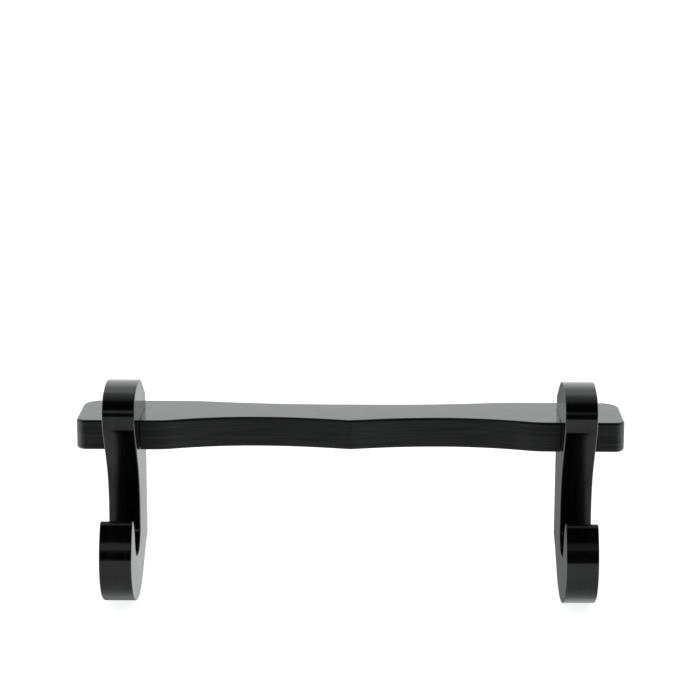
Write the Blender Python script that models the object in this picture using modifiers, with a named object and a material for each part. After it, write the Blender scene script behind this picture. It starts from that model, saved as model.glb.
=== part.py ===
"""Wall rack: one flat crossbar and two hooked brackets, in black lacquered board.

Metres, +Z up. +X runs along the crossbar, +Y points into the wall, and the
rack faces -Y. The origin is on the wall face, at mid-length of the crossbar
and at half its thickness.
"""
import math

import bmesh
import bpy
from mathutils import Matrix, Vector

MM = 0.001
GAP = 0.3                     # clearance left between touching pieces

# Crossbar and brackets, in millimetres
BAR_THICKNESS = 23.4
BRACKET_THICKNESS = 24.5
BAR_LENGTH = 424.0
BAR_DEPTH = 64.5              # wall side to front edge, at the ends
BAR_BACK_CORNER = 14.5        # plan radius of the two wall-side corners
BAR_FRONT_CORNER = 8.0
BAR_BACK_HOLLOW = 8.7         # how far the middle of the wall side stands off
BAR_FRONT_HOLLOW = 12.6       # how far the front edge draws in between brackets
BAR_CUSP_SETBACK = 3.7        # the middle point, behind the line of the ends
BAR_EDGE_ROUND = 1.7          # worked edges of the crossbar
BRACKET_EDGE_ROUND = 0.8
BRACKET_X = 174.75            # mid-thickness of each bracket from the middle
BRACKET_STANDOFF = 16.5       # bracket back edge to the wall
NOTCH_DEPTH = 12.0            # crossbar front edge let over each bracket neck

# Plan curves of the crossbar, on its +X half: where each centre lies, and its radius
BACK_HOLLOW_X = 20.0
BACK_HOLLOW_RADIUS = 575.0
BACK_SHOULDER_X = 133.0
BACK_SHOULDER_RADIUS = 162.0
FRONT_SHOULDER_X = 152.0
FRONT_SHOULDER_RADIUS = 50.0
FRONT_HOLLOW_X = 72.0
FRONT_HOLLOW_OUTER_RADIUS = 210.0
FRONT_HOLLOW_INNER_RADIUS = 276.0

# Side profile of a bracket: each round is (out from the back edge, up from the
# crossbar's mid-plane, radius), clockwise from the top back corner. A hollow
# round has a negative radius, and a sharp corner has none.
BRACKET_ROUNDS = {
    "top_back_corner": (0.0, 21.7, 0.0),
    "dome": (53.0, -15.6, 59.4),
    "nose": (68.5, 22.2, 19.0),
    "neck_hollow": (121.5, -55.5, -68.5),
    "hook_bowl": (75.5, -66.1, -21.5),
    "tip_inner_side": (116.5, -68.7, 19.0),
    "tip_crown": (109.8, -56.2, 5.5),
    "hook_front": (92.0, -81.8, 33.5),
    "hook_belly": (72.0, -56.6, 65.5),
    "underside_hollow": (-10.5, -150.7, -58.0),
    "lower_back_corner": (3.0, -90.4, 3.0),
}

# Steel fittings on the wall side
PLATE_X = 150.5               # middle of each keyhole plate
PLATE_LENGTH = 34.0
PLATE_HEIGHT = 17.0
PLATE_THICKNESS = 1.5
KEYHOLE_ENTRY_RADIUS = 4.25
KEYHOLE_ENTRY_Z = -3.4
KEYHOLE_SLOT_RADIUS = 2.2
KEYHOLE_SLOT_Z = 3.6          # centre of the slot's round top
POCKET_DEPTH = 9.0            # hollow in the board behind a keyhole
POCKET_SIDE = 1.5             # how far the pocket runs past the keyhole
POCKET_BELOW = 0.5
POCKET_ABOVE = 1.8
PLATE_SCREW_OFFSET = 12.2     # plate screws either side of the keyhole
PLATE_SCREW = {"length": 16.0, "shank": 1.4, "head": 2.7, "head_height": 1.3}
BRACKET_SCREW = {"length": 60.0, "shank": 2.0, "head": 3.9, "head_height": 2.6}
COUNTERBORE_DEPTH = 8.0       # bracket screw head, below the crossbar's back
COUNTERBORE_RADIUS = 5.0

SCREW_RIM = 0.25              # straight rim of a countersunk head
SCREW_TIP = 2.5               # taper length of the tip, in shank radii
RECESS_LENGTH = 1.15          # cross recess, in head radii
RECESS_WIDTH = 0.3
RECESS_DEPTH = 0.75           # and in head heights

ARC_STEP = math.radians(6.0)  # angle between the points of a round
ARC_CHORD = 5.0               # longest chord on a round, in millimetres
SIDES = 24                    # facets of a turned or bored piece
EDGE_SEGMENTS = 3
EDGE_ANGLE = math.radians(50.0)
SMOOTH_ANGLE = math.radians(35.0)
OVERSHOOT = 1.0               # how far a cutter runs past the face it opens
WELD = 0.00001                # metres
FLAT_ANGLE = 0.001            # radians: faces this close to one plane are joined


def clear_scene():
    for obj in list(bpy.data.objects):
        bpy.data.objects.remove(obj, do_unlink=True)


def make_collection(name):
    group = bpy.data.collections.new(name)
    bpy.context.scene.collection.children.link(group)
    return group


def make_material(name, colour, roughness, metallic):
    material = bpy.data.materials.new(name)
    material.use_nodes = True
    shader = material.node_tree.nodes["Principled BSDF"]
    shader.inputs["Base Color"].default_value = (*colour, 1.0)
    shader.inputs["Roughness"].default_value = roughness
    shader.inputs["Metallic"].default_value = metallic
    return material


def common_tangent(first, second):
    """Heading of the straight that leaves one round and meets the next."""
    reach = Vector(second[:2]) - Vector(first[:2])
    lean = max(-1.0, min(1.0, (second[2] - first[2]) / reach.length))
    return math.atan2(reach.y, reach.x) + math.asin(lean)


def outline_through(rounds):
    """Closed clockwise outline: an arc on each round, joined by straights."""
    points = []
    for index, (x, y, radius) in enumerate(rounds):
        if radius == 0.0:
            points.append((x, y))
            continue
        arrive = common_tangent(rounds[index - 1], rounds[index])
        leave = common_tangent(rounds[index], rounds[(index + 1) % len(rounds)])
        side = math.copysign(1.0, radius)
        turn = (side * (arrive - leave)) % math.tau
        chord_angle = min(ARC_STEP, ARC_CHORD / abs(radius))
        steps = max(1, math.ceil(turn / chord_angle))
        for step in range(steps + 1):
            heading = arrive - side * turn * step / steps
            points.append((x - radius * math.sin(heading), y + radius * math.cos(heading)))
    return points


def as_mesh(source, group, matrix):
    """Turn a filled curve into a closed mesh object placed by matrix."""
    bpy.context.view_layer.update()
    evaluated = source.evaluated_get(bpy.context.evaluated_depsgraph_get())
    mesh = bpy.data.meshes.new_from_object(evaluated)
    shape = bmesh.new()
    shape.from_mesh(mesh)
    bmesh.ops.remove_doubles(shape, verts=shape.verts, dist=WELD)
    bmesh.ops.dissolve_limit(shape, angle_limit=FLAT_ANGLE, verts=shape.verts,
                             edges=shape.edges)
    shape.to_mesh(mesh)
    shape.free()
    name = source.name
    bpy.data.objects.remove(source, do_unlink=True)
    mesh.name = name
    solid = bpy.data.objects.new(name, mesh)
    solid.matrix_world = matrix
    group.objects.link(solid)
    return solid


def board(name, outlines, thickness, group, matrix):
    """A flat piece: outlines in its own plane, centred on its thickness."""
    curve = bpy.data.curves.new(name, "CURVE")
    curve.dimensions = "2D"
    curve.fill_mode = "BOTH"
    curve.extrude = thickness * MM / 2.0
    for outline in outlines:
        spline = curve.splines.new("POLY")
        spline.points.add(len(outline) - 1)
        for point, (x, y) in zip(spline.points, outline):
            point.co = (x * MM, y * MM, 0.0, 1.0)
        spline.use_cyclic_u = True
    source = bpy.data.objects.new(name, curve)
    group.objects.link(source)
    return as_mesh(source, group, matrix)


def soften_edges(solid, radius):
    bevel = solid.modifiers.new("softened edges", "BEVEL")
    bevel.width = radius * MM
    bevel.segments = EDGE_SEGMENTS
    bevel.limit_method = "ANGLE"
    bevel.angle_limit = EDGE_ANGLE
    bevel.use_clamp_overlap = True


def shade(solid, material):
    solid.data.materials.clear()
    solid.data.materials.append(material)
    solid.data.polygons.foreach_set("use_smooth", [True] * len(solid.data.polygons))
    solid.data.set_sharp_from_angle(angle=SMOOTH_ANGLE)


def cut(solid, cutter):
    difference = solid.modifiers.new("cut " + cutter.name, "BOOLEAN")
    difference.operation = "DIFFERENCE"
    difference.solver = "EXACT"
    difference.object = cutter


def hide_cutter(cutter, name, group):
    for owner in list(cutter.users_collection):
        owner.objects.unlink(cutter)
    group.objects.link(cutter)
    cutter.name = name
    cutter.hide_render = True
    cutter.display_type = "WIRE"
    return cutter


def box_cutter(name, low, high, group, spin=0.0):
    centre = [(a + b) / 2.0 * MM for a, b in zip(low, high)]
    bpy.ops.mesh.primitive_cube_add(size=1.0, location=centre, rotation=(0.0, spin, 0.0))
    cutter = bpy.context.object
    cutter.data.transform(Matrix.Diagonal([(b - a) * MM for a, b in zip(low, high)] + [1.0]))
    return hide_cutter(cutter, name, group)


def turned(name, profile, x, y, group):
    """Round piece about Y through (x, y, 0): (radius, along Y) from the wall."""
    mesh = bpy.data.meshes.new(name)
    mesh.from_pydata([(radius * MM, 0.0, along * MM) for radius, along in profile],
                     [(i, i + 1) for i in range(len(profile) - 1)], [])
    solid = bpy.data.objects.new(name, mesh)
    solid.location = (x * MM, y * MM, 0.0)
    solid.rotation_euler = (-math.pi / 2.0, 0.0, 0.0)
    group.objects.link(solid)
    turning = solid.modifiers.new("turned", "SCREW")
    turning.steps = SIDES
    turning.render_steps = SIDES
    turning.use_merge_vertices = True
    turning.merge_threshold = WELD
    turning.use_smooth_shade = True
    return solid


def bore_cutter(name, x, y_wall, y_front, radius, group):
    profile = [(0.0, y_wall), (radius, y_wall), (radius, y_front), (0.0, y_front)]
    return hide_cutter(turned(name, profile, x, 0.0, group), name, group)


def crossbar_outline():
    """Plan outline: round-cornered ends, and a front that draws in to a point."""
    half = BAR_LENGTH / 2.0
    front = -BAR_DEPTH
    drawn_in = front + BAR_FRONT_HOLLOW
    right = [
        (BACK_HOLLOW_X, BACK_HOLLOW_RADIUS - BAR_BACK_HOLLOW, -BACK_HOLLOW_RADIUS),
        (BACK_SHOULDER_X, -BACK_SHOULDER_RADIUS, BACK_SHOULDER_RADIUS),
        (half - BAR_BACK_CORNER, -BAR_BACK_CORNER, BAR_BACK_CORNER),
        (half - BAR_FRONT_CORNER, front + BAR_FRONT_CORNER, BAR_FRONT_CORNER),
        (FRONT_SHOULDER_X, front + FRONT_SHOULDER_RADIUS, FRONT_SHOULDER_RADIUS),
        (FRONT_HOLLOW_X, drawn_in - FRONT_HOLLOW_OUTER_RADIUS, -FRONT_HOLLOW_OUTER_RADIUS),
        (FRONT_HOLLOW_X, drawn_in - FRONT_HOLLOW_INNER_RADIUS, -FRONT_HOLLOW_INNER_RADIUS),
    ]
    left = [(-x, y, radius) for x, y, radius in reversed(right)]
    cusp = [(0.0, front + BAR_CUSP_SETBACK, 0.0)]
    return outline_through(right + cusp + left)


def make_crossbar(parts, cutters, lacquer):
    bar = board("crossbar", [crossbar_outline()], BAR_THICKNESS, parts, Matrix.Identity(4))
    soften_edges(bar, BAR_EDGE_ROUND)
    notch_half = BRACKET_THICKNESS / 2.0 + GAP
    notch_floor = -BAR_DEPTH + NOTCH_DEPTH + GAP
    for side, sign in (("left", -1.0), ("right", 1.0)):
        x = sign * BRACKET_X
        low = (x - notch_half, -BAR_DEPTH - OVERSHOOT, -BAR_THICKNESS)
        high = (x + notch_half, notch_floor, BAR_THICKNESS)
        cut(bar, box_cutter(side + " notch", low, high, cutters))
        cut(bar, bracket_screw_bore(side + " screw bore", x, notch_floor, cutters))
        cut_plate_seat(bar, side, sign, cutters)
    shade(bar, lacquer)


def bracket_screw_bore(name, x, notch_floor, cutters):
    """Counterbore, countersunk seat and clearance bore, in one cutter."""
    shank = BRACKET_SCREW["shank"] + GAP
    seat_floor = -COUNTERBORE_DEPTH - BRACKET_SCREW["head_height"] - GAP
    profile = [
        (0.0, OVERSHOOT),
        (COUNTERBORE_RADIUS, OVERSHOOT),
        (COUNTERBORE_RADIUS, -COUNTERBORE_DEPTH),
        (BRACKET_SCREW["head"] + GAP, -COUNTERBORE_DEPTH),
        (shank, seat_floor),
        (shank, notch_floor - OVERSHOOT),
        (0.0, notch_floor - OVERSHOOT),
    ]
    return hide_cutter(turned(name, profile, x, 0.0, cutters), name, cutters)


def cut_plate_seat(bar, side, sign, cutters):
    """Shallow recess for a keyhole plate, the pocket and two pilot holes."""
    x = sign * PLATE_X
    floor = PLATE_THICKNESS + GAP
    recess = board(side + " plate recess", [plate_outline(GAP)], 2.0 * floor, cutters,
                   plate_matrix(x, 0.0))
    cut(bar, hide_cutter(recess, recess.name, cutters))
    pocket_half = KEYHOLE_ENTRY_RADIUS + POCKET_SIDE
    pocket_bottom = KEYHOLE_ENTRY_Z - KEYHOLE_ENTRY_RADIUS - POCKET_BELOW
    pocket_top = KEYHOLE_SLOT_Z + KEYHOLE_SLOT_RADIUS + POCKET_ABOVE
    low = (x - pocket_half, -POCKET_DEPTH, pocket_bottom)
    high = (x + pocket_half, OVERSHOOT, pocket_top)
    cut(bar, box_cutter(side + " pocket", low, high, cutters))
    hole_end = -PLATE_SCREW["length"] - OVERSHOOT
    hole_radius = PLATE_SCREW["shank"] + GAP
    for end, offset in (("inner", -PLATE_SCREW_OFFSET), ("outer", PLATE_SCREW_OFFSET)):
        hole_x = sign * (PLATE_X + offset)
        cut(bar, bore_cutter(f"{side} {end} pilot hole", hole_x, OVERSHOOT, hole_end,
                             hole_radius, cutters))


def bracket_matrix(x):
    """Profile plane to world: out from the back edge is -Y, up is +Z."""
    turn = Matrix(((0.0, 0.0, -1.0), (-1.0, 0.0, 0.0), (0.0, 1.0, 0.0)))
    place = Vector((x * MM, -BRACKET_STANDOFF * MM, 0.0))
    return Matrix.Translation(place) @ turn.to_4x4()


def make_bracket(name, x, parts, cutters, lacquer):
    outline = outline_through(list(BRACKET_ROUNDS.values()))
    bracket = board(name, [outline], BRACKET_THICKNESS, parts, bracket_matrix(x))
    soften_edges(bracket, BRACKET_EDGE_ROUND)
    slot_half = BAR_THICKNESS / 2.0 + GAP
    slot_floor = -BAR_DEPTH + NOTCH_DEPTH
    screw_end = -COUNTERBORE_DEPTH - BRACKET_SCREW["length"]
    cut(bracket, bore_cutter(name + " pilot hole", x, slot_floor + OVERSHOOT,
                             screw_end - OVERSHOOT, BRACKET_SCREW["shank"] + GAP, cutters))
    low = (x - BRACKET_THICKNESS, slot_floor, -slot_half)
    high = (x + BRACKET_THICKNESS, OVERSHOOT, slot_half)
    cut(bracket, box_cutter(name + " slot", low, high, cutters))
    shade(bracket, lacquer)


def plate_outline(margin):
    """Round-ended plate outline, grown by a margin."""
    radius = PLATE_HEIGHT / 2.0
    reach = PLATE_LENGTH / 2.0 - radius
    return outline_through([(-reach, 0.0, radius + margin), (reach, 0.0, radius + margin)])


def keyhole_outline():
    """Round entry with a narrower slot rising from it, round at the top."""
    half_width = KEYHOLE_SLOT_RADIUS
    meet = math.acos(half_width / KEYHOLE_ENTRY_RADIUS)
    half_sides = SIDES // 2
    points = []
    for step in range(SIDES + 1):
        angle = meet - step * (math.pi + 2.0 * meet) / SIDES
        points.append((KEYHOLE_ENTRY_RADIUS * math.cos(angle),
                       KEYHOLE_ENTRY_Z + KEYHOLE_ENTRY_RADIUS * math.sin(angle)))
    for step in range(half_sides + 1):
        angle = math.pi - step * math.pi / half_sides
        points.append((half_width * math.cos(angle),
                       KEYHOLE_SLOT_Z + half_width * math.sin(angle)))
    return points


def plate_matrix(x, y):
    """Plate plane to world: its face looks along Y."""
    return Matrix.Translation((x * MM, y * MM, 0.0)) @ Matrix.Rotation(math.pi / 2.0, 4, "X")


def make_hanger_plate(name, x, parts, cutters, steel):
    plate = board(name, [plate_outline(0.0), keyhole_outline()], PLATE_THICKNESS, parts,
                  plate_matrix(x, -PLATE_THICKNESS / 2.0))
    hole = PLATE_SCREW["shank"] + GAP
    rim = PLATE_SCREW["head"] + GAP
    throat = -PLATE_SCREW["head_height"] - GAP
    through = -PLATE_THICKNESS - OVERSHOOT
    profile = [
        (0.0, OVERSHOOT),
        (rim, OVERSHOOT),
        (rim, 0.0),
        (hole, throat),
        (hole, through),
        (0.0, through),
    ]
    for end, offset in (("first", -PLATE_SCREW_OFFSET), ("second", PLATE_SCREW_OFFSET)):
        hole_name = f"{name} {end} hole"
        countersink = turned(hole_name, profile, x + offset, 0.0, cutters)
        cut(plate, hide_cutter(countersink, hole_name, cutters))
    shade(plate, steel)


def make_wood_screw(name, x, y, size, parts, cutters, steel):
    """Countersunk wood screw along Y, its head facing the wall at y."""
    profile = [
        (0.0, 0.0),
        (size["head"], 0.0),
        (size["head"], -SCREW_RIM),
        (size["shank"], -size["head_height"]),
        (size["shank"], SCREW_TIP * size["shank"] - size["length"]),
        (0.0, -size["length"]),
    ]
    screw = turned(name, profile, x, y, parts)
    half_length = RECESS_LENGTH * size["head"] / 2.0
    half_width = RECESS_WIDTH * size["head"] / 2.0
    depth = RECESS_DEPTH * size["head_height"]
    for arm, spin in (("first", math.pi / 4.0), ("second", -math.pi / 4.0)):
        low = (x - half_length, y - depth, -half_width)
        high = (x + half_length, y + depth, half_width)
        cut(screw, box_cutter(f"{name} {arm} recess", low, high, cutters, spin))
    screw.data.materials.append(steel)


def build():
    clear_scene()
    parts = make_collection("wall_rack")
    cutters = make_collection("cutters")
    lacquer = make_material("black_lacquer", (0.010, 0.011, 0.011), 0.18, 0.0)
    zinc = make_material("zinc_plated_steel", (0.62, 0.63, 0.64), 0.30, 1.0)
    screw_steel = make_material("screw_steel", (0.50, 0.42, 0.22), 0.32, 1.0)
    make_crossbar(parts, cutters, lacquer)
    for side, sign in (("left", -1.0), ("right", 1.0)):
        make_bracket(side + "_bracket", sign * BRACKET_X, parts, cutters, lacquer)
        make_wood_screw(side + "_bracket_screw", sign * BRACKET_X, -COUNTERBORE_DEPTH,
                        BRACKET_SCREW, parts, cutters, screw_steel)
        make_hanger_plate(side + "_hanger_plate", sign * PLATE_X, parts, cutters, zinc)
        for end, offset in (("inner", -PLATE_SCREW_OFFSET), ("outer", PLATE_SCREW_OFFSET)):
            screw_x = sign * (PLATE_X + offset)
            make_wood_screw(f"{side}_plate_screw_{end}", screw_x, 0.0, PLATE_SCREW,
                            parts, cutters, zinc)


build()
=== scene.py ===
"""Black lacquered wall rack: a crossbar and two hooked brackets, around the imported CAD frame.

The frame is in metres, +Z up. +X runs along the crossbar and +Y points into the wall. Every
piece is remade here in millimetres, in the place of its CAD node, with finer edges. The brow
and the tip of each hook differ from the CAD's by up to 0.8 mm.
"""
import math

import bmesh
import bpy
from mathutils import Matrix, Vector


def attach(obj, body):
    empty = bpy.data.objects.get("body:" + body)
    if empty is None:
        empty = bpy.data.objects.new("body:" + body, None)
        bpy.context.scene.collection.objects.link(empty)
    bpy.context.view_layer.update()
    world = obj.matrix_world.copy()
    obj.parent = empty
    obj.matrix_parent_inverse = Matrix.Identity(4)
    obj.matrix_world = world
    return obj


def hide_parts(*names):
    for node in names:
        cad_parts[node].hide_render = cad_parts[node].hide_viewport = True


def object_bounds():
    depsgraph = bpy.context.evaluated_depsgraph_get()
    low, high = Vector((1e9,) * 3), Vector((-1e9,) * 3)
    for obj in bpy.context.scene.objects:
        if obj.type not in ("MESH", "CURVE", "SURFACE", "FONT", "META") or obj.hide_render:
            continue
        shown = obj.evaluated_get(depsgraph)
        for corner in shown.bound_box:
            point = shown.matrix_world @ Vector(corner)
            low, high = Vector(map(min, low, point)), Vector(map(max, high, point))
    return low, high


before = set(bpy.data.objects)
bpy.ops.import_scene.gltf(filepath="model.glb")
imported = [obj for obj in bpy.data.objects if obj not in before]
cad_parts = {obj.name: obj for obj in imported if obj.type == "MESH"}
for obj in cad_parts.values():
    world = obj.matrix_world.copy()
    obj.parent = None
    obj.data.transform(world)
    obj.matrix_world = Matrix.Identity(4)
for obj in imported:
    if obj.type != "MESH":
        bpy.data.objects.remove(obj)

CAD_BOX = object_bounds()
MM = 0.001
GAP = 0.3

# Boards. Each round of an outline is (x, y, radius): negative for a hollow, 0 for a corner.
BAR_THICKNESS = 23.4
BRACKET_THICKNESS = 24.5
BAR_LENGTH = 424.0
BAR_DEPTH = 64.5
BAR_BACK_CORNER = 14.5
BAR_FRONT_CORNER = 8.0
BAR_BACK_HOLLOW = 8.7
BAR_FRONT_HOLLOW = 12.6
BAR_CUSP_SETBACK = 3.7
BACK_HOLLOW_X = 20.0
BACK_HOLLOW_RADIUS = 575.0
BACK_SHOULDER_X = 133.0
BACK_SHOULDER_RADIUS = 162.0
FRONT_SHOULDER_X = 152.0
FRONT_SHOULDER_RADIUS = 50.0
FRONT_HOLLOW_X = 72.0
FRONT_HOLLOW_OUTER_RADIUS = 210.0
FRONT_HOLLOW_INNER_RADIUS = 276.0
BRACKET_X = 174.75
BRACKET_STANDOFF = 16.5
NOTCH_DEPTH = 12.0
BRACKET_ROUNDS = {
    "top_back_corner": (0.0, 21.7, 0.0),
    "dome": (53.0, -15.6, 59.4),
    "nose": (68.5, 22.2, 19.0),
    "neck_hollow": (121.5, -55.5, -68.5),
    "hook_bowl": (75.5, -66.1, -21.5),
    "tip_inner_side": (116.5, -68.7, 19.0),
    "tip_crown": (109.4, -56.8, 6.0),
    "hook_brow": (75.8, -85.3, 50.0),
    "hook_front": (92.0, -81.8, 33.5),
    "hook_belly": (72.0, -56.6, 65.46),
    "underside_hollow": (-10.5, -150.7, -58.0),
    "lower_back_corner": (3.0, -90.4, 3.0),
}

# Fittings
PLATE_X = 150.5
PLATE_LENGTH = 34.0
PLATE_HEIGHT = 17.0
PLATE_THICKNESS = 1.5
KEYHOLE_ENTRY_RADIUS = 4.25
KEYHOLE_ENTRY_Z = -3.4
KEYHOLE_SLOT_RADIUS = 2.2
KEYHOLE_SLOT_Z = 3.6
POCKET_DEPTH = 9.0
POCKET_SIDE = 1.5
POCKET_BELOW = 0.5
POCKET_ABOVE = 1.8
PLATE_SCREW_OFFSET = 12.2
PLATE_SCREW = {"length": 16.0, "shank": 1.4, "head": 2.7, "head_height": 1.3}
BRACKET_SCREW = {"length": 60.0, "shank": 2.0, "head": 3.9, "head_height": 2.6}
COUNTERBORE_DEPTH = 8.0
COUNTERBORE_RADIUS = 5.0
PLATE_EDGE_ROUND = 0.35
SCREW_RIM = 0.25
SCREW_EASE = 0.08
SCREW_TIP = 2.5               # point's length, in shank radii
RECESS_REACH = 0.575          # shares of the head's radius
RECESS_HALF_WIDTH = 0.15
RECESS_DEPTH = 0.75           # share of the head's height
RECESS_TAPER = 0.55

# Edges and mesh steps
ARC_STEP = math.radians(3.0)
ARC_CHORD = 1.6
STRAIGHT_STEP = 2.5
BAR_EDGE_ROUND = 1.7
BRACKET_EDGE_ROUND = 0.8
CORNER_ROUND = 1.6
EDGE_STEPS = 4
SUPPORT = 0.35                # flat ring kept beside each rounded edge
SHARPEST_TURN = 0.3           # limit on the reach of an inset corner
SHARP_ANGLE = 32.0            # degrees
SIDES = 48
OVERSHOOT = 1.0
LIP = 0.05
TINY = 0.001
WELD = 0.002                  # points nearer than this become one

# Finish. Colours are linear, noise scales are to the metre and bumps are in metres.
LACQUER_BLACK = (0.0003, 0.0004, 0.0004)
BAR_STREAK = (0.0050, 0.0060, 0.0058)
BRACKET_STREAK = (0.0014, 0.0017, 0.0017)
LACQUER_IOR = 1.38
GLOSS = 0.14
BAR_EDGE_GLOSS = 0.42
BAR_EDGE_SHINE = (0.27, 0.43)
BRACKET_EDGE_SHINE = (0.50, 0.54)
FACE_SHINE = (0.44, 0.56)
EDGE_TO_FACE = (0.08, 0.35)   # how squarely a surface faces through the board
LINES_ALONG = 18.0
LINES_THROUGH = 900.0
LINE_TONES = (0.36, 0.68)
LINE_GLOSS = (-0.03, 0.04)
LINE_SHINE = (0.38, 0.62)
EVEN = (1.0, 1.0, 1.0)
NOISE_SPREAD = (0.3, 0.7)
MOTTLE_SPREAD = (0.25, 0.75)
PEEL_SCALE = 260.0
MOTTLE_SCALE = 90.0
SWELL_SCALE = 35.0
FINE_BUMP = 0.000006
SWELL_BUMP = 0.00003
ZINC = {"light": (0.50, 0.51, 0.53), "dark": (0.37, 0.38, 0.40), "roughness": 0.34}
YELLOW_ZINC = {"light": (0.50, 0.40, 0.19), "dark": (0.35, 0.29, 0.16), "roughness": 0.32}
PLATE_LINES = (60.0, 900.0, 2600.0)
PLATE_MOTTLE_SCALE = 500.0
PLATE_GLOSS = (-0.06, 0.08)
PLATE_BUMP = 0.000004

# Stage
FLOOR_RADIUS = 60.0
FLOOR_DROP = 0.0004
FLOOR_DARK = (0.40, 0.405, 0.40)
FLOOR_LIGHT = (0.44, 0.445, 0.44)
FLOOR_GLOW = 0.88
FLOOR_GLOW_COLOUR = (0.98, 1.0, 0.99, 1.0)
FLOOR_ROUGHNESS = 0.9
FLOOR_MOTTLE_SCALE = 3.0
FLOOR_SIDES = 96
SKY_COLOUR = (0.975, 1.0, 0.99)
SKY_PEAK = 5.0

# The studio's brightness, as (share of the way round, level). make_sky says which way they run.
HIGH = ((0.0, 1.25), (0.08, 1.33), (0.14, 1.56), (0.19, 1.22), (0.27, 0.9), (0.42, 0.72),
        (0.48, 0.46), (0.56, 0.05), (0.64, 0.015), (1.0, 0.03))
LOW = ((0.0, 1.0), (0.1, 1.0), (0.14, 2.6), (0.21, 4.2), (0.29, 4.2), (0.39, 1.5),
       (0.44, 0.25), (0.494, 0.23), (0.506, 0.84), (0.55, 0.84), (0.62, 2.0), (0.72, 4.2),
       (0.85, 3.6), (0.89, 1.35), (0.98, 1.25), (1.0, 1.05))
UNDER = 0.8                   # level straight below
HORIZON = (-0.1, -0.02)       # height of a direction, where LOW turns into HIGH
STEEP = (-0.95, -0.5)         # height of a direction, where UNDER turns into LOW

# Each light is name, size, place, aim, radiance, and whether the lacquer mirrors it.
LIGHTS = (
    ("near", (1.8, 1.2), (0.0, 0.45, 1.2), (0.0, 0.3, 0.0), 0.3, False),
    ("strip", (1.0, 0.5), (-0.5, -2.2, 0.97), (-0.1, 0.0, 0.0), 0.8, True),
    ("strip_right", (1.0, 0.5), (0.52, -2.2, 1.16), (0.1, 0.0, 0.0), 0.32, True),
)

# Camera, in metres and degrees
CAMERA_PLACE = (0.01733, -1.78293, 0.46296)
CAMERA_AZIMUTH = 0.589
CAMERA_ELEVATION = 12.928
CAMERA_ROLL = 0.172
CAMERA_LENS = 118.52
SENSOR_WIDTH = 36.0
CLIP = (0.01, 100.0)


# ---------------------------------------------------------------- outlines

def common_tangent(first, second):
    """Heading of the straight that leaves one round and meets the next."""
    reach = Vector(second[:2]) - Vector(first[:2])
    lean = max(-1.0, min(1.0, (second[2] - first[2]) / reach.length))
    return math.atan2(reach.y, reach.x) + math.asin(lean)


def outline_through(rounds):
    """Closed clockwise outline: an arc on each round, joined by straights."""
    points = []
    for index, (x, y, radius) in enumerate(rounds):
        if radius == 0.0:
            points.append((x, y))
            continue
        arrive = common_tangent(rounds[index - 1], rounds[index])
        leave = common_tangent(rounds[index], rounds[(index + 1) % len(rounds)])
        side = math.copysign(1.0, radius)
        turn = (side * (arrive - leave)) % math.tau
        steps = max(1, math.ceil(turn / min(ARC_STEP, ARC_CHORD / abs(radius))))
        for step in range(steps + 1):
            heading = arrive - side * turn * step / steps
            points.append((x - radius * math.sin(heading), y + radius * math.cos(heading)))
    return [point for index, point in enumerate(points)
            if (Vector(point) - Vector(points[index - 1])).length > TINY]


def eased(points, index, radius):
    """The outline with one sharp corner turned into a small round."""
    corner = Vector(points[index])
    before = (Vector(points[index - 1]) - corner).normalized()
    after = (Vector(points[(index + 1) % len(points)]) - corner).normalized()
    half = before.angle(after) / 2.0
    reach = radius / math.tan(half)
    centre = corner + (before + after).normalized() * (radius / math.sin(half))
    start = corner + before * reach - centre
    sweep = start.angle_signed(corner + after * reach - centre)
    arc = []
    for step in range(EDGE_STEPS + 1):
        spin = Matrix.Rotation(-sweep * step / EDGE_STEPS, 2)
        arc.append(tuple(centre + spin @ start))
    return points[:index] + arc + points[index + 1:]


def stepped(points):
    """The outline with its long straights divided."""
    divided = []
    for index, point in enumerate(points):
        start = Vector(point)
        reach = Vector(points[(index + 1) % len(points)]) - start
        count = max(1, math.ceil(reach.length / STRAIGHT_STEP))
        divided += [tuple(start + reach * step / count) for step in range(count)]
    return divided


def notched(points, axis, low, high, level):
    """Cuts a square notch into an outline, from its mouth below level to a floor at level.

    The notch lies between low and high along axis. Points of the outline in its mouth are
    dropped, and the notch's own corners go in their place.
    """
    other = 1 - axis
    count = len(points)

    def inside(index):
        point = points[index % count]
        return low < point[axis] < high and point[other] < level

    first = next(i for i in range(count) if inside(i) and not inside(i - 1))
    last = next(i for i in range(first, first + count) if not inside(i + 1))
    kept = [points[i % count] for i in range(last + 1, first + count)]
    enter, leave = kept[-1], kept[0]
    near, far = (low, high) if enter[axis] <= low else (high, low)
    lip = math.copysign(LIP, far - near)

    def spot(along, across):
        return (along, across) if axis == 0 else (across, along)

    def mouth(start, end, value):
        share = (value - start[axis]) / (end[axis] - start[axis])
        return spot(value, start[other] + share * (end[other] - start[other]))

    inner_first, inner_last = points[first % count], points[last % count]
    return kept + [
        mouth(enter, inner_first, near - lip),
        mouth(enter, inner_first, near),
        spot(near, level),
        spot(far, level),
        mouth(inner_last, leave, far),
        mouth(inner_last, leave, far + lip),
    ]


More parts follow.
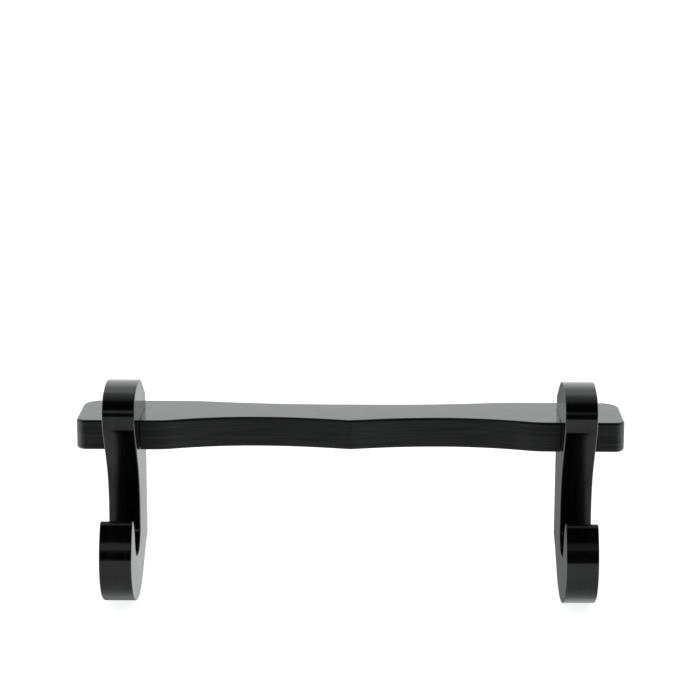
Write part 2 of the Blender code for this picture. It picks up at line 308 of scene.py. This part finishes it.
def crossbar_outline():
    """Plan of the crossbar: its right half as rounds, mirrored, with the cusp between."""
    half = BAR_LENGTH / 2.0
    front = -BAR_DEPTH
    drawn_in = front + BAR_FRONT_HOLLOW
    right = [
        (BACK_HOLLOW_X, BACK_HOLLOW_RADIUS - BAR_BACK_HOLLOW, -BACK_HOLLOW_RADIUS),
        (BACK_SHOULDER_X, -BACK_SHOULDER_RADIUS, BACK_SHOULDER_RADIUS),
        (half - BAR_BACK_CORNER, -BAR_BACK_CORNER, BAR_BACK_CORNER),
        (half - BAR_FRONT_CORNER, front + BAR_FRONT_CORNER, BAR_FRONT_CORNER),
        (FRONT_SHOULDER_X, front + FRONT_SHOULDER_RADIUS, FRONT_SHOULDER_RADIUS),
        (FRONT_HOLLOW_X, drawn_in - FRONT_HOLLOW_OUTER_RADIUS, -FRONT_HOLLOW_OUTER_RADIUS),
        (FRONT_HOLLOW_X, drawn_in - FRONT_HOLLOW_INNER_RADIUS, -FRONT_HOLLOW_INNER_RADIUS),
    ]
    left = [(-x, y, radius) for x, y, radius in reversed(right)]
    cusp = [(0.0, front + BAR_CUSP_SETBACK, 0.0)]
    return outline_through(right + cusp + left)


def plate_outline(margin):
    """Round-ended plate, grown by a margin."""
    radius = PLATE_HEIGHT / 2.0
    reach = PLATE_LENGTH / 2.0 - radius
    return outline_through([(-reach, 0.0, radius + margin), (reach, 0.0, radius + margin)])


# ---------------------------------------------------------------- solids

def linked(name, data):
    obj = bpy.data.objects.new(name, data)
    bpy.context.scene.collection.objects.link(obj)
    return obj


def inset(points, distances):
    """Moves each point of a clockwise outline inwards by its own distance."""
    moved = []
    for index, point in enumerate(points):
        here = Vector(point)
        came = (here - Vector(points[index - 1])).normalized()
        goes = (Vector(points[(index + 1) % len(points)]) - here).normalized()
        side_in = Vector((came.y, -came.x))
        side_out = Vector((goes.y, -goes.x))
        middle = (side_in + side_out).normalized()
        reach = distances[index] / max(SHARPEST_TURN, middle.dot(side_in))
        moved.append(tuple(here + middle * reach))
    return moved


def rounded_board(name, points, softened, thickness, edge, matrix):
    """A board: the outline through its thickness, its worked edges rounded.

    softened holds one number for each point, 0 where the edge stays crisp.
    """
    half = thickness / 2.0
    rings = [(edge + SUPPORT, half), (edge, half)]
    for step in range(1, EDGE_STEPS + 1):
        angle = math.pi / 2.0 * step / EDGE_STEPS
        rings.append((edge * (1.0 - math.sin(angle)), half - edge * (1.0 - math.cos(angle))))
    rings += [(0.0, height * (half - edge - SUPPORT)) for height in (1.0, 0.5, 0.0)]
    rings += [(reach, -height) for reach, height in reversed(rings[:-1])]
    mesh = bpy.data.meshes.new(name)
    shape = bmesh.new()
    loops = []
    for reach, height in rings:
        ring = inset(points, [reach * soft for soft in softened])
        loops.append([shape.verts.new((x * MM, y * MM, height * MM)) for x, y in ring])
    count = len(points)
    for upper, lower in zip(loops, loops[1:]):
        for i in range(count):
            j = (i + 1) % count
            shape.faces.new((upper[i], upper[j], lower[j], lower[i]))
    shape.faces.new(list(reversed(loops[0])))
    shape.faces.new(loops[-1])
    bmesh.ops.remove_doubles(shape, verts=shape.verts, dist=WELD * MM)
    bmesh.ops.recalc_face_normals(shape, faces=shape.faces)
    shape.to_mesh(mesh)
    shape.free()
    solid = linked(name, mesh)
    solid.data.transform(matrix)
    return solid


def softness(points, axis, ranges, level):
    """1 for a worked edge, 0 in the square-cut notches."""
    marks = []
    for point in points:
        notch = any(low - TINY <= point[axis] <= high + TINY for low, high in ranges)
        marks.append(0.0 if notch and point[1 - axis] <= level + TINY else 1.0)
    return marks


def apply_modifiers(obj):
    """Puts the finished mesh in place of the old one, with its doubled points welded."""
    bpy.context.view_layer.update()
    evaluated = obj.evaluated_get(bpy.context.evaluated_depsgraph_get())
    mesh = bpy.data.meshes.new_from_object(evaluated)
    obj.modifiers.clear()
    shape = bmesh.new()
    shape.from_mesh(mesh)
    bmesh.ops.remove_doubles(shape, verts=shape.verts, dist=WELD * MM)
    shape.to_mesh(mesh)
    shape.free()
    old = obj.data
    obj.data = mesh
    bpy.data.meshes.remove(old)
    mesh.name = obj.name


def cut(obj, cutters):
    """Cuts each piece out of obj, and clears the pieces away."""
    for cutter in cutters:
        boolean = obj.modifiers.new("cut", "BOOLEAN")
        boolean.operation = "DIFFERENCE"
        boolean.solver = "EXACT"
        boolean.object = cutter
    apply_modifiers(obj)
    for cutter in cutters:
        bpy.data.objects.remove(cutter, do_unlink=True)


def smooth(obj):
    obj.data.polygons.foreach_set("use_smooth", [True] * len(obj.data.polygons))
    obj.data.set_sharp_from_angle(angle=math.radians(SHARP_ANGLE))


def turned(name, profile, x, y):
    """A round solid about Y, through x and y. profile is (radius, along Y) from y."""
    mesh = bpy.data.meshes.new(name)
    shape = bmesh.new()
    rings = []
    for radius, along in profile:
        if radius == 0.0:
            rings.append([shape.verts.new((x * MM, (y + along) * MM, 0.0))])
            continue
        ring = []
        for side in range(SIDES):
            angle = math.tau * side / SIDES
            ring.append(shape.verts.new(((x + radius * math.cos(angle)) * MM, (y + along) * MM,
                                         radius * math.sin(angle) * MM)))
        rings.append(ring)
    for upper, lower in zip(rings, rings[1:]):
        for i in range(SIDES):
            j = (i + 1) % SIDES
            corners = [upper[i % len(upper)], upper[j % len(upper)],
                       lower[j % len(lower)], lower[i % len(lower)]]
            shape.faces.new(list(dict.fromkeys(corners)))
    bmesh.ops.recalc_face_normals(shape, faces=shape.faces)
    shape.to_mesh(mesh)
    shape.free()
    return linked(name, mesh)


def block(name, low, high):
    """A plain box cutter."""
    mesh = bpy.data.meshes.new(name)
    shape = bmesh.new()
    bmesh.ops.create_cube(shape, size=1.0)
    for vert in shape.verts:
        for axis in range(3):
            vert.co[axis] = (low[axis] if vert.co[axis] < 0 else high[axis]) * MM
    shape.to_mesh(mesh)
    shape.free()
    return linked(name, mesh)


def slab(name, points, thickness, matrix):
    """A square-edged board, for cutters."""
    mesh = bpy.data.meshes.new(name)
    shape = bmesh.new()
    half = thickness / 2.0
    top = [shape.verts.new((px * MM, py * MM, half * MM)) for px, py in points]
    base = [shape.verts.new((px * MM, py * MM, -half * MM)) for px, py in points]
    shape.faces.new(top)
    shape.faces.new(list(reversed(base)))
    for i in range(len(points)):
        j = (i + 1) % len(points)
        shape.faces.new((top[i], base[i], base[j], top[j]))
    bmesh.ops.recalc_face_normals(shape, faces=shape.faces)
    shape.to_mesh(mesh)
    shape.free()
    obj = linked(name, mesh)
    obj.data.transform(matrix)
    return obj


# ---------------------------------------------------------------- pieces

def plate_matrix(x, y):
    """Stands a flat outline up against the wall, at x and y."""
    return Matrix.Translation((x * MM, y * MM, 0.0)) @ Matrix.Rotation(math.pi / 2.0, 4, "X")


def make_crossbar():
    """Board with a notch for each bracket, and with bores and recesses for the fittings."""
    notch_half = BRACKET_THICKNESS / 2.0 + GAP
    notch_floor = -BAR_DEPTH + NOTCH_DEPTH + GAP
    points = stepped(crossbar_outline())
    ranges = [(sign * BRACKET_X - notch_half, sign * BRACKET_X + notch_half) for sign in (-1, 1)]
    for low, high in ranges:
        points = notched(points, 0, low, high, notch_floor)
    marks = softness(points, 0, ranges, notch_floor)
    bar = rounded_board("crossbar_board", points, marks, BAR_THICKNESS, BAR_EDGE_ROUND,
                        Matrix.Identity(4))
    cutters = []
    for sign in (-1, 1):
        shank = BRACKET_SCREW["shank"] + GAP
        seat = -COUNTERBORE_DEPTH - BRACKET_SCREW["head_height"] - GAP
        profile = [(0.0, OVERSHOOT), (COUNTERBORE_RADIUS, OVERSHOOT),
                   (COUNTERBORE_RADIUS, -COUNTERBORE_DEPTH),
                   (BRACKET_SCREW["head"] + GAP, -COUNTERBORE_DEPTH), (shank, seat),
                   (shank, notch_floor - OVERSHOOT), (0.0, notch_floor - OVERSHOOT)]
        cutters.append(turned("bore", profile, sign * BRACKET_X, 0.0))
        x = sign * PLATE_X
        cutters.append(slab("recess", plate_outline(GAP), 2.0 * (PLATE_THICKNESS + GAP),
                            plate_matrix(x, 0.0)))
        pocket = KEYHOLE_ENTRY_RADIUS + POCKET_SIDE
        low = (x - pocket, -POCKET_DEPTH, KEYHOLE_ENTRY_Z - KEYHOLE_ENTRY_RADIUS - POCKET_BELOW)
        high = (x + pocket, OVERSHOOT, KEYHOLE_SLOT_Z + KEYHOLE_SLOT_RADIUS + POCKET_ABOVE)
        cutters.append(block("pocket", low, high))
        hole = PLATE_SCREW["shank"] + GAP
        deep = -PLATE_SCREW["length"] - OVERSHOOT
        for offset in (-PLATE_SCREW_OFFSET, PLATE_SCREW_OFFSET):
            cutters.append(turned("pilot", [(0.0, OVERSHOOT), (hole, OVERSHOOT), (hole, deep),
                                            (0.0, deep)], x + offset, 0.0))
    cut(bar, cutters)
    smooth(bar)
    return bar


def make_bracket(side, sign):
    """Hooked board with a slot for the crossbar, and a pilot hole for the long screw."""
    slot_half = BAR_THICKNESS / 2.0 + GAP
    slot_floor = BAR_DEPTH - NOTCH_DEPTH - BRACKET_STANDOFF
    points = outline_through(list(BRACKET_ROUNDS.values()))
    points = stepped(eased(points, 0, CORNER_ROUND))
    points = notched(points, 1, -slot_half, slot_half, slot_floor)
    marks = softness(points, 1, [(-slot_half, slot_half)], slot_floor)
    x = sign * BRACKET_X
    turn = Matrix(((0.0, 0.0, -1.0), (-1.0, 0.0, 0.0), (0.0, 1.0, 0.0))).to_4x4()
    place = Matrix.Translation((x * MM, -BRACKET_STANDOFF * MM, 0.0)) @ turn
    bracket = rounded_board(side + "_bracket_board", points, marks, BRACKET_THICKNESS,
                            BRACKET_EDGE_ROUND, place)
    hole = BRACKET_SCREW["shank"] + GAP
    start = -BRACKET_STANDOFF - slot_floor + OVERSHOOT
    end = -COUNTERBORE_DEPTH - BRACKET_SCREW["length"] - OVERSHOOT
    pilot = turned("pilot", [(0.0, start), (hole, start), (hole, end), (0.0, end)], x, 0.0)
    cut(bracket, [pilot])
    smooth(bracket)
    return bracket


def keyhole_outline():
    """Round entry with a narrower slot rising from it, round at the top."""
    meet = math.acos(KEYHOLE_SLOT_RADIUS / KEYHOLE_ENTRY_RADIUS)
    points = []
    for step in range(SIDES + 1):
        angle = meet - step * (math.pi + 2.0 * meet) / SIDES
        points.append((KEYHOLE_ENTRY_RADIUS * math.cos(angle),
                       KEYHOLE_ENTRY_Z + KEYHOLE_ENTRY_RADIUS * math.sin(angle)))
    for step in range(SIDES // 2 + 1):
        angle = math.pi - step * math.tau / SIDES
        points.append((KEYHOLE_SLOT_RADIUS * math.cos(angle),
                       KEYHOLE_SLOT_Z + KEYHOLE_SLOT_RADIUS * math.sin(angle)))
    return points


def make_plate(side, sign):
    """Keyhole plate, flush with the wall side, with two countersunk holes."""
    x = sign * PLATE_X
    points = stepped(plate_outline(0.0))
    place = plate_matrix(x, -PLATE_THICKNESS / 2.0)
    plate = rounded_board(side + "_keyhole_plate", points, [1.0] * len(points), PLATE_THICKNESS,
                          PLATE_EDGE_ROUND, place)
    cutters = [slab("keyhole", keyhole_outline(), 2.0 * PLATE_THICKNESS, place)]
    rim, hole = PLATE_SCREW["head"] + GAP, PLATE_SCREW["shank"] + GAP
    throat, through = -PLATE_SCREW["head_height"] - GAP, -PLATE_THICKNESS - OVERSHOOT
    profile = [(0.0, OVERSHOOT), (rim, OVERSHOOT), (rim, 0.0), (hole, throat), (hole, through),
               (0.0, through)]
    for offset in (-PLATE_SCREW_OFFSET, PLATE_SCREW_OFFSET):
        cutters.append(turned("countersink", profile, x + offset, 0.0))
    cut(plate, cutters)
    smooth(plate)
    return plate


def cross_recess(x, y, size):
    """A cross that narrows as it goes in, turned 45 degrees."""
    reach, half = RECESS_REACH * size["head"], RECESS_HALF_WIDTH * size["head"]
    depth = RECESS_DEPTH * size["head_height"]
    corner = [(reach, -half), (reach, half), (half, half)]
    spin = Matrix.Rotation(math.pi / 4.0, 2)
    quarter = Matrix.Rotation(math.pi / 2.0, 2)
    outline = []
    for _ in range(4):
        outline += [spin @ Vector(point) for point in corner]
        spin = spin @ quarter
    mesh = bpy.data.meshes.new("recess")
    shape = bmesh.new()
    rings = []
    for along, scale in ((depth, 1.0), (0.0, 1.0), (-depth, RECESS_TAPER)):
        rings.append([shape.verts.new(((x + point.x * scale) * MM, (y + along) * MM,
                                       point.y * scale * MM)) for point in outline])
    for upper, lower in zip(rings, rings[1:]):
        for i in range(len(outline)):
            j = (i + 1) % len(outline)
            shape.faces.new((upper[i], upper[j], lower[j], lower[i]))
    shape.faces.new(rings[0])
    shape.faces.new(list(reversed(rings[-1])))
    bmesh.ops.recalc_face_normals(shape, faces=shape.faces)
    shape.to_mesh(mesh)
    shape.free()
    return linked("recess", mesh)


def make_screw(name, x, y, size):
    """Countersunk wood screw along Y, its head facing the wall at y."""
    head, shank = size["head"], size["shank"]
    profile = [(0.0, 0.0), (head - SCREW_EASE, 0.0), (head, -SCREW_EASE), (head, -SCREW_RIM),
               (shank, -size["head_height"]), (shank, SCREW_TIP * shank - size["length"]),
               (0.0, -size["length"])]
    screw = turned(name, profile, x, y)
    cut(screw, [cross_recess(x, y, size)])
    smooth(screw)
    return screw


# ---------------------------------------------------------------- materials

class Nodes:
    """Small helper for filling a node tree."""

    def __init__(self, tree):
        self.tree = tree

    def add(self, kind, **settings):
        node = self.tree.nodes.new(kind)
        for key, value in settings.items():
            setattr(node, key, value)
        return node

    def link(self, start, end):
        self.tree.links.new(start, end)

    def place(self, output):
        return self.add("ShaderNodeTexCoord").outputs[output]

    def maths(self, operation, *values):
        maths = self.add("ShaderNodeMath", operation=operation)
        for socket, value in zip(maths.inputs, values):
            if isinstance(value, float):
                socket.default_value = value
            else:
                self.link(value, socket)
        return maths.outputs["Value"]

    def noise(self, stretch, scale, detail, rough):
        """Fractal noise, stretched by a scale along each axis of the frame."""
        mapping = self.add("ShaderNodeMapping")
        mapping.inputs["Scale"].default_value = stretch
        self.link(self.place("Object"), mapping.inputs["Vector"])
        noise = self.add("ShaderNodeTexNoise")
        noise.inputs["Scale"].default_value = scale
        noise.inputs["Detail"].default_value = detail
        noise.inputs["Roughness"].default_value = rough
        self.link(mapping.outputs["Vector"], noise.inputs["Vector"])
        return noise.outputs["Fac"]

    def ranged(self, value, low, high, out_low, out_high):
        ranged = self.add("ShaderNodeMapRange")
        for socket, number in zip(("From Min", "From Max", "To Min", "To Max"),
                                  (low, high, out_low, out_high)):
            ranged.inputs[socket].default_value = number
        self.link(value, ranged.inputs["Value"])
        return ranged.outputs["Result"]

    def ramp(self, value, stops):
        """A colour for each position in stops, blended between them."""
        ramp = self.add("ShaderNodeValToRGB")
        elements = ramp.color_ramp.elements
        stops = list(stops)
        while len(elements) < len(stops):
            elements.new(1.0)
        for element, (position, colour) in zip(elements, stops):
            element.position = position
            element.color = (*colour, 1.0)
        self.link(value, ramp.inputs["Fac"])
        return ramp.outputs["Color"]

    def blended(self, share, first, second):
        mix = self.add("ShaderNodeMix", data_type="FLOAT")
        for socket, value in ((0, share), (2, first), (3, second)):
            self.link(value, mix.inputs[socket])
        return mix.outputs[0]

    def mixed(self, share, first, second):
        mix = self.add("ShaderNodeMix", data_type="RGBA")
        for socket, value in ((0, share), (6, first), (7, second)):
            self.link(value, mix.inputs[socket])
        return mix.outputs[2]

    def bump(self, height, distance, before=None):
        bump = self.add("ShaderNodeBump")
        bump.inputs["Distance"].default_value = distance
        self.link(height, bump.inputs["Height"])
        if before is not None:
            self.link(before, bump.inputs["Normal"])
        return bump.outputs["Normal"]


def new_material(name):
    """A material, its node helper and the inputs of its principled shader."""
    material = bpy.data.materials.new(name)
    material.use_nodes = True
    nodes = Nodes(material.node_tree)
    return material, nodes, material.node_tree.nodes["Principled BSDF"].inputs


def lacquer(name, layers, streak, thickness_axis, edge_gloss, edge_shine):
    """Gloss black lacquer over fibreboard.

    layers stretches the board's lines through its thickness. edge_gloss is the roughness of
    the worked edges, and edge_shine the range of reflection that the lines give them.
    """
    material, nodes, inputs = new_material(name)
    facing = nodes.add("ShaderNodeSeparateXYZ")
    nodes.link(nodes.place("Normal"), facing.inputs["Vector"])
    flat = nodes.maths("ABSOLUTE", facing.outputs[thickness_axis])
    gloss = nodes.ranged(flat, *EDGE_TO_FACE, edge_gloss, GLOSS)
    lines = nodes.noise(layers, 1.0, detail=4.0, rough=0.65)
    peel = nodes.noise(EVEN, PEEL_SCALE, detail=2.0, rough=0.5)
    mottle = nodes.noise(EVEN, MOTTLE_SCALE, detail=4.0, rough=0.6)
    swell = nodes.noise(EVEN, SWELL_SCALE, detail=2.0, rough=0.5)
    inputs["IOR"].default_value = LACQUER_IOR
    base = nodes.ramp(lines, zip(LINE_TONES, (LACQUER_BLACK, streak)))
    nodes.link(base, inputs["Base Color"])
    nodes.link(nodes.maths("ADD", gloss, nodes.ranged(lines, *NOISE_SPREAD, *LINE_GLOSS)),
               inputs["Roughness"])
    shine = nodes.blended(nodes.ranged(flat, *EDGE_TO_FACE, 0.0, 1.0),
                          nodes.ranged(lines, *LINE_SHINE, *edge_shine),
                          nodes.ranged(mottle, *MOTTLE_SPREAD, *FACE_SHINE))
    nodes.link(shine, inputs["Specular IOR Level"])
    normal = nodes.bump(lines, FINE_BUMP)
    normal = nodes.bump(peel, FINE_BUMP, normal)
    normal = nodes.bump(swell, SWELL_BUMP, normal)
    nodes.link(normal, inputs["Normal"])
    return material


def steel(name, light, dark, roughness):
    """Plated steel, with faint rolling lines and a mottled plate."""
    material, nodes, inputs = new_material(name)
    lines = nodes.noise(PLATE_LINES, 1.0, detail=3.0, rough=0.6)
    mottle = nodes.noise(EVEN, PLATE_MOTTLE_SCALE, detail=3.0, rough=0.6)
    inputs["Metallic"].default_value = 1.0
    nodes.link(nodes.ramp(mottle, zip(NOISE_SPREAD, (dark, light))), inputs["Base Color"])
    rough = [roughness + spread for spread in PLATE_GLOSS]
    nodes.link(nodes.ranged(lines, *NOISE_SPREAD, *rough), inputs["Roughness"])
    nodes.link(nodes.bump(lines, PLATE_BUMP), inputs["Normal"])
    return material


def floor_material():
    """Matt pale floor that glows a little, so that it stays even."""
    material, nodes, inputs = new_material("pale_floor")
    mottle = nodes.noise(EVEN, FLOOR_MOTTLE_SCALE, detail=2.0, rough=0.5)
    nodes.link(nodes.ramp(mottle, zip(NOISE_SPREAD, (FLOOR_DARK, FLOOR_LIGHT))),
               inputs["Base Color"])
    inputs["Roughness"].default_value = FLOOR_ROUGHNESS
    inputs["Specular IOR Level"].default_value = 0.0
    inputs["Emission Color"].default_value = FLOOR_GLOW_COLOUR
    inputs["Emission Strength"].default_value = FLOOR_GLOW
    return material


# ---------------------------------------------------------------- stage

def make_floor():
    """A wide floor under the rack. The lacquer doesn't mirror it."""
    low, _ = CAD_BOX
    mesh = bpy.data.meshes.new("floor")
    shape = bmesh.new()
    bmesh.ops.create_circle(shape, cap_ends=True, radius=FLOOR_RADIUS, segments=FLOOR_SIDES)
    shape.to_mesh(mesh)
    shape.free()
    floor = linked("floor", mesh)
    floor.location = (0.0, 0.0, low.z - FLOOR_DROP)
    floor.data.materials.append(floor_material())
    floor.visible_glossy = False


def area_light(name, size, place, aim, radiance, in_gloss):
    """A rectangular light of one radiance. The camera never sees it."""
    data = bpy.data.lights.new(name, "AREA")
    data.shape = "RECTANGLE"
    data.size, data.size_y = size
    data.energy = radiance * math.pi * size[0] * size[1]
    light = linked(name, data)
    light.location = place
    towards = Vector(aim) - Vector(place)
    light.rotation_euler = towards.to_track_quat("-Z", "Y").to_euler()
    light.visible_camera = False
    light.visible_glossy = in_gloss


def make_sky():
    """The studio round the rack, painted by direction.

    HIGH runs over the top, from the horizon behind to the one in front. LOW runs round under
    the horizon, from the front by the left side, the back and the right side to the front.
    """
    world = bpy.data.worlds.new("studio")
    world.use_nodes = True
    nodes = Nodes(world.node_tree)
    parts = nodes.add("ShaderNodeSeparateXYZ")
    nodes.link(nodes.place("Generated"), parts.inputs["Vector"])
    x, y, z = (parts.outputs[axis] for axis in "XYZ")
    behind = nodes.maths("ADD", y, nodes.maths("ABSOLUTE", x))
    over = nodes.maths("DIVIDE", nodes.maths("ARCTAN2", z, behind), math.pi)
    around = nodes.maths("ADD", nodes.maths("DIVIDE", nodes.maths("ARCTAN2", x, y), math.tau), 0.5)

    def tint(level):
        return [level / SKY_PEAK * part for part in SKY_COLOUR]

    def painted(value, levels):
        return nodes.ramp(value, [(position, tint(level)) for position, level in levels])

    under = nodes.add("ShaderNodeRGB")
    under.outputs["Color"].default_value = (*tint(UNDER), 1.0)
    low = nodes.mixed(nodes.ranged(z, *STEEP, 0.0, 1.0), under.outputs["Color"],
                      painted(around, LOW))
    whole = nodes.mixed(nodes.ranged(z, *HORIZON, 0.0, 1.0), low, painted(over, HIGH))
    background = world.node_tree.nodes["Background"]
    nodes.link(whole, background.inputs["Color"])
    background.inputs["Strength"].default_value = SKY_PEAK
    bpy.context.scene.world = world


def make_camera():
    """The photo's camera, found from the crossbar and the brackets."""
    turns = (("Z", CAMERA_AZIMUTH), ("X", 90.0 - CAMERA_ELEVATION), ("Z", CAMERA_ROLL))
    aim = Matrix.Identity(3)
    for axis, degrees in turns:
        aim = aim @ Matrix.Rotation(math.radians(degrees), 3, axis)
    data = bpy.data.cameras.new("camera")
    data.sensor_width = SENSOR_WIDTH
    data.lens = CAMERA_LENS
    data.clip_start, data.clip_end = CLIP
    camera = linked("camera", data)
    camera.location = CAMERA_PLACE
    camera.rotation_mode = "QUATERNION"
    camera.rotation_quaternion = aim.to_quaternion()
    bpy.context.scene.camera = camera


def install(piece, material, node):
    """Puts a finished piece where its CAD node was."""
    piece.data.materials.clear()
    piece.data.materials.append(material)
    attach(piece, "root")
    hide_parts(node)


def build():
    bar_lacquer = lacquer("bar_lacquer", (LINES_ALONG, LINES_ALONG, LINES_THROUGH), BAR_STREAK,
                          "Z", BAR_EDGE_GLOSS, BAR_EDGE_SHINE)
    bracket_lacquer = lacquer("bracket_lacquer", (LINES_THROUGH, LINES_ALONG, LINES_ALONG),
                              BRACKET_STREAK, "X", GLOSS, BRACKET_EDGE_SHINE)
    zinc = steel("zinc_plate", **ZINC)
    yellow = steel("yellow_zinc", **YELLOW_ZINC)
    install(make_crossbar(), bar_lacquer, "crossbar")
    for side, sign in (("left", -1.0), ("right", 1.0)):
        install(make_bracket(side, sign), bracket_lacquer, side + "_bracket")
        install(make_plate(side, sign), zinc, side + "_hanger_plate")
        screw = make_screw(side + "_long_screw", sign * BRACKET_X, -COUNTERBORE_DEPTH,
                           BRACKET_SCREW)
        install(screw, yellow, side + "_bracket_screw")
        for end, offset in (("inner", -PLATE_SCREW_OFFSET), ("outer", PLATE_SCREW_OFFSET)):
            screw = make_screw(f"{side}_short_screw_{end}", sign * (PLATE_X + offset), 0.0,
                               PLATE_SCREW)
            install(screw, zinc, f"{side}_plate_screw_{end}")


build()
make_floor()
make_sky()
for light in LIGHTS:
    area_light(*light)
make_camera()
bpy.context.scene.view_settings.view_transform = "Standard"
